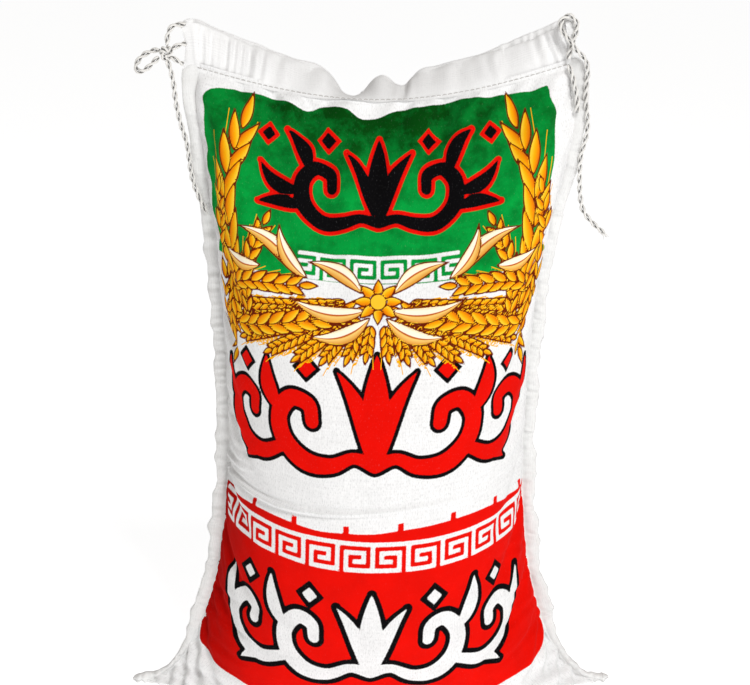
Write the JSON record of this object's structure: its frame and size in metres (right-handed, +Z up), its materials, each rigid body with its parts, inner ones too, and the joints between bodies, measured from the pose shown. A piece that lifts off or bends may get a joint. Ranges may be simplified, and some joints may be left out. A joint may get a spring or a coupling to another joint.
{
  "type": "bag of rice",
  "caption": "Filled white cotton sack of rice, sewn at the sides and base, drawn shut by a corded hem, with green, white and red printed fields; stands by itself",
  "frame": {"origin": "middle of the base of the sack, on the surface that it stands on", "axes": "+Z up along the sack's height, -Y towards the printed front, +X to the right as seen from the front"},
  "size_m": [0.39, 0.1836, 0.5387],
  "materials": {
    "printed_cotton": "matte plain-weave cotton with printed colour fields",
    "drawstring": "matte two-strand twisted cotton cord"
  },
  "bodies": {
    "root": {"sack": "printed_cotton", "left_knot": "drawstring", "left_upper_strand": "drawstring", "left_middle_strand": "drawstring", "left_lower_strand": "drawstring", "left_bow_loop": "drawstring", "left_tail": "drawstring", "right_drawstring": "drawstring", "right_short_tail": "drawstring"}
  },
  "joints": []
}
